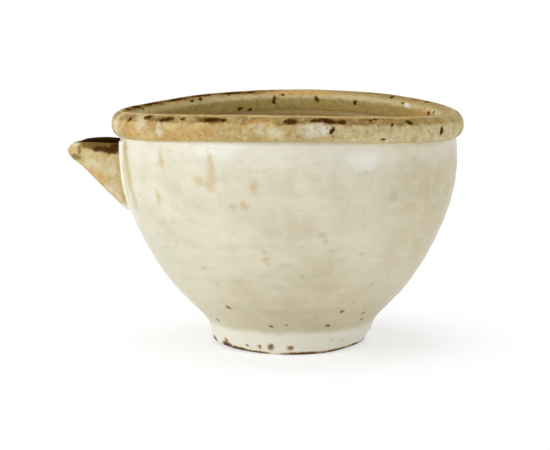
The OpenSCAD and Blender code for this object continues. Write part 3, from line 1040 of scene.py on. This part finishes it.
# Each mark on the rim: turn from the front and roll from the outer side over the crest in degrees,
# half its width and half its height in millimetres
RIM_MARKS = {
    "burnt": [
        (-61, 36, 2.2, 1.4), (-51, 47, 2.4, 1.2), (-42, 43, 4.4, 1.5), (-35.5, 46, 1.6, 0.8),
        (-24.6, 42, 6, 1.7), (-20, 39, 1.6, 1.3), (0.9, 37, 2.7, 1.6), (8, 41, 4, 1), (12.4, 43, 4.6, 1.8),
        (16.8, 36, 2.2, 1.3), (25.6, 42, 0.8, 0.6), (27.4, 53, 0.8, 0.5), (28, 23, 0.6, 0.5),
        (33.6, 24, 0.7, 0.6), (41, 37, 2.3, 1.5), (13.4, -4, 1, 2.2), (56, -5, 1.2, 1.9),
        (30.5, -36, 1.8, 0.9), (-92, 104, 6, 1.4), (-104, 106, 8, 1.6), (-118, 107, 9, 1.7),
        (-132, 108, 9, 1.6), (-146, 110, 8, 1.4), (-158, 112, 7, 1.3), (-165, 113, 4, 1),
        (-107, 128, 1.6, 1), (-139, 141, 1.4, 0.9), (-144, 138, 1.2, 0.7), (-175, 168, 1.1, 2.6),
        (-160, 200, 1.3, 1.2), (-165, 214, 1.4, 1.2), (168, 164, 1, 1.5), (-178, 141, 0.7, 0.7),
        (151, 175, 1.3, 1.3), (135, 118, 1.8, 0.9), (128, 145, 1, 0.8), (116, 106, 2, 0.8),
        (107, 164, 1.7, 1.2), (102, 155, 1.3, 1), (95, 40, 5, 1.5), (125, 44, 8, 1.6), (160, 40, 6, 1.6),
        (-170, 42, 7, 1.7), (-135, 40, 6, 1.5), (-100, 42, 6, 1.6),
    ],
    "crest": [
        (-78, 97, 10, 2.2), (-95, 102, 14, 2.6), (-118, 104, 18, 2.9), (-142, 104, 18, 2.8),
        (-165, 107, 14, 2.2), (140, 98, 12, 1.4), (118, 99, 10, 1.2),
    ],
    "pale": [
        (-9.5, 4, 4, 3), (-4, -8, 4.4, 3.2), (8, 1, 9, 3.8), (-44, -1, 2.2, 5), (-54, 24, 4.6, 4),
        (-74, 0, 7, 6), (125, 152, 3, 2), (100, 0, 10, 5), (150, -5, 11, 5), (-140, 0, 11, 5),
    ],
    "orange": [
        (-39, -43, 13, 3), (-30, -20, 10, 3.4), (-8, 27, 7, 2.6), (-58, -20, 8, 4), (120, -35, 14, 3),
        (-120, -30, 14, 3),
    ],
    # Orange on the far inner rim, partly painted light
    "glow": [(112, 195, 16, 5), (174, 126, 20, 2.6)],
}

# Each mark on the spout: distance to the right of the axis, height, half its width and half its height,
# all in millimetres
SPOUT_MARKS = {
    "orange": [(-75.5, 67, 3, 3), (-73, 65.4, 3.6, 3), (-70.4, 63, 4, 3), (-63.5, 57.5, 2.6, 3)],
    # Pale patches, partly painted light at the nose and near the bead
    "pale": [
        (-74.3, 70, 4.5, 3.6), (-67.4, 60.6, 4, 4), (-81.5, 77.2, 3.4, 2), (-66.5, 69, 3, 6),
        (-65.5, 57, 3, 4),
    ],
    "scorch": [(-71, 78.4, 10.5, 4.2), (-66, 78, 6, 4)],
}
SPOUT_NEAR_MARKS = {
    "char": [(-70.4, 75.7, 5, 1.8), (-68, 75.7, 4.4, 2), (-65.2, 76.4, 2.2, 2.4)],
    "smoke": [(-79.2, 75, 0.9, 2.6), (-81, 72.4, 3.6, 1.8)],
}


def coat_spots(shape, hand, rows):
    """Places on the white coat, with half their width and height, all in millimetres."""
    path = foot_side(shape) + outer_path(shape)[1:]
    found = []
    for turn, height, wide, tall in rows:
        out = radius_at(path, height * MM) + shape.glaze_thick
        way = math.radians(turn)
        p = Vector((out * math.sin(way), -out * math.cos(way), height * MM))
        found.append((thrown(p, shape, hand) / MM, wide, tall))
    return found


# Throwing ridges of the white coat, in millimetres, and how far they sway, in radians
RIDGE_PITCH = 7.5
RIDGE_BAND = (22, 34)
RIDGE_SWAY = 2.5

# Trimming step of the coat, how far its upper edge wanders, and the pool at the heel, in millimetres
TRIM_TOP = (18.4, 20)
TRIM_LOW = (9.5, 11.5)
TRIM_WANDER = 0.9
POOL_THICK = 0.2
POOL_HEIGHT = 9
POOL_SPREAD = 1.6

# Height of the coat's lumps and runs, size of the lumps, and width and height of the runs, in millimetres
COAT_RELIEF = 0.05
COAT_LUMPS = 12
RUN_WIDE = 5
RUN_TALL = 28


def coat_unevenness(p, hand):
    """How far the white coat stands off its turned shape at a point, all in millimetres."""
    way = Vector((p.x, p.y, 0)).normalized()
    sway = RIDGE_SWAY * noise.noise(1.2 * way)
    ridges = math.sin(FULL_TURN * p.z / RIDGE_PITCH + sway) * ease(*RIDGE_BAND, p.z)
    wandering = p.z + TRIM_WANDER * noise.noise(2 * way)
    step = (1 - ease(*TRIM_TOP, wandering)) * ease(*TRIM_LOW, p.z)
    runs = noise.noise(Vector((p.x / RUN_WIDE, p.y / RUN_WIDE, p.z / RUN_TALL)))
    pool = POOL_THICK * math.exp(-(((p.z - POOL_HEIGHT) / POOL_SPREAD) ** 2))
    turned = hand.ridge / MM * ridges - hand.trim / MM * step
    return turned + COAT_RELIEF * ripple(p, COAT_LUMPS) + COAT_RELIEF * runs + pool


# Sag of the rim's lower half and swell of all of it at both ends, more on the left, in millimetres
RIM_SAG = 0.55
RIM_SWELL = 0.17
LEFT_SAG = 0.05
LEFT_SWELL = 0.03
SAG_BAND = (81.5, 86)


def rim_unevenness(p):
    """How far the rim stands off its turned shape at a point, all in millimetres."""
    left = -p.x / math.hypot(p.x, p.y)
    sag = (RIM_SAG + LEFT_SAG * left) * abs(left) * (1 - ease(*SAG_BAND, p.z))
    swell = (RIM_SWELL + LEFT_SWELL * left) * abs(left)
    return swell + sag + 0.15 * ripple(p, 16) + 0.08 * ripple(p, 5, 3)


def spout_unevenness(p):
    """How far the spout stands off its moulded shape at a point, all in millimetres."""
    return 0.16 * ripple(p, 7) + 0.07 * ripple(p, 3)


WHITE = (1, 1, 1)
PAPER = (0.88, 0.88, 0.88)
FLOOR_HALF = 4

# Light that the paper adds where it is seen and where it is only lit, and the even light all round
PAPER_GLOW = 0.25
PAPER_BOUNCE = 0.13
AIR_LIGHT = 0.3

# Share of plain white in the paper under the pourer, and the distances in metres over which it takes over
WHITE_SHARE = 0.5
WHITE_BAND = (0.03, 0.1)

CAMERA_LENS = 134.65
CAMERA_PLACE = Vector((-6.3, -780, 153.8)) * MM
CAMERA_AIM = Vector((-6.3, 0, 44.7)) * MM

# Name, place, diameter, power and colour of each light
LIGHTS_AIM = Vector((0, 0, 0.05))
STUDIO_LIGHTS = [
    ("left_window", (-0.75, -0.35, 0.40), 0.55, 3.75, (1, 0.99, 0.96)),
    ("right_window", (0.66, -0.46, 0.30), 0.45, 1.5, (1, 0.98, 0.94)),
    ("top_window", (-0.1, 0.1, 0.9), 0.8, 4.0, (1, 1, 1)),
    ("front_card", (-0.1, -0.80, 0.08), 0.4, 0.25, (1, 1, 1)),
]


def seen_directly(f):
    """1 on rays from the camera, or by way of a reflection or a clear piece, and 0 on lit surfaces."""
    camera, glossy, through = (
        f.node("ShaderNodeLightPath", {}, {}, ray)
        for ray in ("Is Camera Ray", "Is Glossy Ray", "Is Transmission Ray")
    )
    return camera.most(glossy).most(through)


def glow(f, strength):
    """Plain white light of a strength."""
    return f.node("ShaderNodeEmission", {}, {"Color": WHITE, "Strength": strength})


def floor_paper():
    """White paper, which keeps a faint shadow of the pourer and fades into the white background."""
    f = Finish(bpy.data.materials.new("floor_paper"))
    diffuse = f.node("ShaderNodeBsdfDiffuse", {}, {"Color": PAPER})
    lit = f.node("ShaderNodeAddShader", {}, {0: diffuse, 1: glow(f, PAPER_GLOW)})
    far = f.node("ShaderNodeVectorMath", {"operation": "LENGTH"}, {0: f.place}, "Value")
    fade = WHITE_SHARE + (1 - WHITE_SHARE) * far.soft(*WHITE_BAND)
    seen = f.node("ShaderNodeMixShader", {}, {0: fade, 1: lit, 2: glow(f, 1)})
    around = f.node("ShaderNodeAddShader", {}, {0: diffuse, 1: glow(f, PAPER_BOUNCE)})
    both = f.node("ShaderNodeMixShader", {}, {0: seen_directly(f), 1: around, 2: seen})
    f.node("ShaderNodeOutputMaterial", {}, {"Surface": both})
    return f.owner


def studio_air():
    """Soft even light from all round, seen as plain white."""
    f = Finish(bpy.data.worlds.new("studio_air"))
    even = f.node("ShaderNodeBackground", {}, {"Color": WHITE, "Strength": AIR_LIGHT})
    white = f.node("ShaderNodeBackground", {}, {"Color": WHITE, "Strength": 1})
    both = f.node("ShaderNodeMixShader", {}, {0: seen_directly(f), 1: even, 2: white})
    f.node("ShaderNodeOutputWorld", {}, {"Surface": both})
    return f.owner


class POURER_OT_stage(bpy.types.Operator):
    """Makes the floor, the lights and the camera"""

    bl_idname = "pourer.stage"
    bl_label = "Stage"

    def execute(self, context):
        bm = bmesh.new()
        bmesh.ops.create_grid(bm, x_segments=1, y_segments=1, size=FLOOR_HALF)
        mesh = bpy.data.meshes.new("floor")
        bm.to_mesh(mesh)
        bm.free()
        floor = bpy.data.objects.new("floor", mesh)
        context.scene.collection.objects.link(floor)
        mesh.materials.append(floor_paper())
        context.scene.world = studio_air()
        for name, place, size, power, shade in STUDIO_LIGHTS:
            lamp = bpy.data.lights.new(name, "AREA")
            lamp.shape = "DISK"
            lamp.size = size
            lamp.energy = power
            lamp.color = shade
            holder = bpy.data.objects.new(name, lamp)
            holder.location = place
            aim = LIGHTS_AIM - holder.location
            holder.rotation_euler = aim.to_track_quat("-Z", "Y").to_euler()
            context.scene.collection.objects.link(holder)
        camera = bpy.data.cameras.new("camera")
        camera.lens = CAMERA_LENS
        view = bpy.data.objects.new("camera", camera)
        view.location = CAMERA_PLACE
        view.rotation_euler = (CAMERA_AIM - CAMERA_PLACE).to_track_quat("-Z", "Y").to_euler()
        context.scene.collection.objects.link(view)
        context.scene.camera = view
        context.scene.view_settings.view_transform = "Standard"
        return {"FINISHED"}


# The clay under the coats takes every third point of the outlines
CLAY_STRIDE = 3


class POURER_OT_bowl(bpy.types.Operator):
    """Makes the thrown wall and floor"""

    bl_idname = "pourer.bowl"
    bl_label = "Thrown bowl"

    def execute(self, context):
        shape = context.scene.pourer_shape
        colours = context.scene.pourer_colours
        outer, inner = outer_path(shape), inner_path(shape)
        top = [Vector((outer[-1].x, shape.tongue_top)), Vector((inner[-1].x, shape.tongue_top))]
        under = [Vector((0, shape.foot_height))]
        bm = lathe(under + outer[::CLAY_STRIDE] + top + inner[::-CLAY_STRIDE], BOWL_STEPS, closed=True)
        bm = carved(bm, pour_hole(shape))
        piece(context, "thrown_bowl", bm, bare_clay(colours))
        return {"FINISHED"}


class POURER_OT_rim(bpy.types.Operator):
    """Makes the rolled rim"""

    bl_idname = "pourer.rim"
    bl_label = "Rolled rim"

    def execute(self, context):
        shape = context.scene.pourer_shape
        colours = context.scene.pourer_colours
        tube = shape.rim_thick / 2
        centre = Vector((shape.rim_radius - tube, shape.rim_top - tube))
        tongue_in = inner_path(shape)[-1].x
        first = -math.acos((shape.neck_radius - centre.x) / tube)
        last = math.pi + math.acos((centre.x - tongue_in) / tube)
        roll = [
            centre + tube * Vector((math.cos(a), math.sin(a)))
            for a in (first + (last - first) * i / ROLL_STEPS for i in range(ROLL_STEPS + 1))
        ]
        slot = [Vector((tongue_in, shape.tongue_top)), Vector((shape.neck_radius, shape.tongue_top))]
        bm = lathe(roll + slot, RIM_STEPS, closed=True)
        dressed(bm, rim_unevenness)

        def fields(mesh):
            turn, radius, z = turns(mesh)
            around = np.degrees(np.arctan2(z - centre.y / MM, radius - centre.x / MM))
            around = (around + 90) % 360 - 90
            store(mesh, "roll", around)
            arc = math.radians(1) * tube / MM
            side, up = drift(mesh, reach=1.4, size=4)
            turn, around = turn + np.degrees(side / radius), around + 0.6 * up / arc
            mark_all(mesh, RIM_MARKS, turn, radius, around, arc)

        piece(context, "rolled_rim", bm, rim_glaze(colours), fields)
        return {"FINISHED"}


class POURER_OT_foot(bpy.types.Operator):
    """Makes the foot ring"""

    bl_idname = "pourer.foot"
    bl_label = "Foot ring"

    def execute(self, context):
        shape = context.scene.pourer_shape
        colours = context.scene.pourer_colours
        inner = shape.stand_radius - shape.stand_width
        path = [Vector((inner - shape.foot_taper, shape.foot_height)), Vector((inner, 0))]
        bm = lathe(path + foot_side(shape), FOOT_STEPS, closed=True)
        piece(context, "foot_ring", bm, bpy.data.materials["bare_clay"])
        return {"FINISHED"}


# Point of the foot's side at which the white coat starts, and how far the inner coat goes up under the rim
COAT_START = 4
INNER_TUCK = 1.5 * MM


class POURER_OT_outer_glaze(bpy.types.Operator):
    """Makes the white coat on the wall and on the side of the foot"""

    bl_idname = "pourer.outer_glaze"
    bl_label = "Outer glaze"

    def execute(self, context):
        shape = context.scene.pourer_shape
        colours = context.scene.pourer_colours
        under_rim = Vector((shape.neck_radius, shape.neck_height + shape.glaze_thick))
        path = foot_side(shape)[COAT_START:] + outer_path(shape)[1:] + [under_rim]
        bm = lathe(beside(path, -shape.glaze_thick), COAT_STEPS, closed=False)
        face_away(bm, outwards=True)
        hand = context.scene.pourer_hand
        dressed(bm, lambda p: coat_unevenness(p, hand))
        bmesh.ops.solidify(bm, geom=bm.faces[:], thickness=shape.glaze_thick)
        bm = carved(bm, seat_cutter(shape))

        def fields(mesh):
            mark_all(mesh, COAT_MARKS, *turns(mesh))

        spots = (coat_spots(shape, hand, rows) for rows in (AMBER_RUNS, GREY_FLECKS, RUST_SPOTS))
        piece(context, "outer_glaze", bm, white_glaze(colours, *spots), fields)
        return {"FINISHED"}


class POURER_OT_inner_glaze(bpy.types.Operator):
    """Makes the coat inside the bowl"""

    bl_idname = "pourer.inner_glaze"
    bl_label = "Inner glaze"

    def execute(self, context):
        shape = context.scene.pourer_shape
        colours = context.scene.pourer_colours
        inner = inner_path(shape)
        path = inner + [Vector((inner[-1].x, shape.neck_height + INNER_TUCK))]
        bm = lathe(beside(path, shape.glaze_thick), INNER_STEPS, closed=False)
        face_away(bm, outwards=False)
        bmesh.ops.solidify(bm, geom=bm.faces[:], thickness=shape.glaze_thick)
        bm = carved(bm, pour_hole(shape))
        piece(context, "inner_glaze", bm, inner_glaze(colours))
        return {"FINISHED"}


class POURER_OT_spout(bpy.types.Operator):
    """Makes the beak spout"""

    bl_idname = "pourer.spout"
    bl_label = "Pouring spout"

    def execute(self, context):
        shape = context.scene.pourer_shape
        colours = context.scene.pourer_colours
        wall = outer_path(shape)
        bm = wrapped(*SPOUT_GRID, lambda u, v: spout_point(shape, wall, u, v), lip_and_channel)
        dressed(bm, spout_unevenness)

        def fields(mesh):
            x, y, z = places(mesh)
            side, up = drift(mesh, reach=0.9, size=4)
            x, z = x + side, z + up
            # At this radius a degree of turn is a millimetre, so the marks are placed by x
            flat = np.full(len(x), math.degrees(1))
            mark_all(mesh, SPOUT_MARKS, x, flat, z)
            # Past the middle these marks rise out of the spout, so the far side has none
            mark_all(mesh, SPOUT_NEAR_MARKS, x, flat, z - 3 * np.maximum(y, 0))

        piece(context, "pouring_spout", bm, spout_glaze(colours), fields)
        return {"FINISHED"}


class POURER_OT_luting(bpy.types.Operator):
    """Makes the bead of slip round the spout's seat"""

    bl_idname = "pourer.luting"
    bl_label = "Spout luting"

    def execute(self, context):
        shape = context.scene.pourer_shape
        colours = context.scene.pourer_colours
        wall = outer_path(shape)
        bm = wrapped(*BEAD_GRID, lambda u, v: bead_point(shape, wall, v, u), lambda u: 0)
        piece(context, "spout_luting", bm, slip_glaze(colours))
        return {"FINISHED"}


class POURER_PT_sidebar(bpy.types.Panel):
    """Lists the pieces and the settings of the pourer"""

    bl_label = "Katakuchi Pourer"
    bl_space_type = "VIEW_3D"
    bl_region_type = "UI"
    bl_category = "Pourer"

    def draw(self, context):
        for operator in OPERATORS:
            self.layout.operator(operator.bl_idname)
        for name, group in SETTINGS.items():
            box = self.layout.box()
            for key in group.__annotations__:
                box.prop(getattr(context.scene, name), key)


OPERATORS = [
    POURER_OT_stage,
    POURER_OT_bowl,
    POURER_OT_rim,
    POURER_OT_foot,
    POURER_OT_outer_glaze,
    POURER_OT_inner_glaze,
    POURER_OT_spout,
    POURER_OT_luting,
]
CLASSES = [*SETTINGS.values(), *OPERATORS, POURER_PT_sidebar]


def register():
    for item in CLASSES:
        bpy.utils.register_class(item)
    for name, group in SETTINGS.items():
        setattr(bpy.types.Scene, name, PointerProperty(type=group))


def unregister():
    for name in SETTINGS:
        delattr(bpy.types.Scene, name)
    for item in reversed(CLASSES):
        bpy.utils.unregister_class(item)


def main():
    register()
    for operator in OPERATORS:
        group, name = operator.bl_idname.split(".")
        getattr(getattr(bpy.ops, group), name)()


if __name__ == "__main__":
    main()
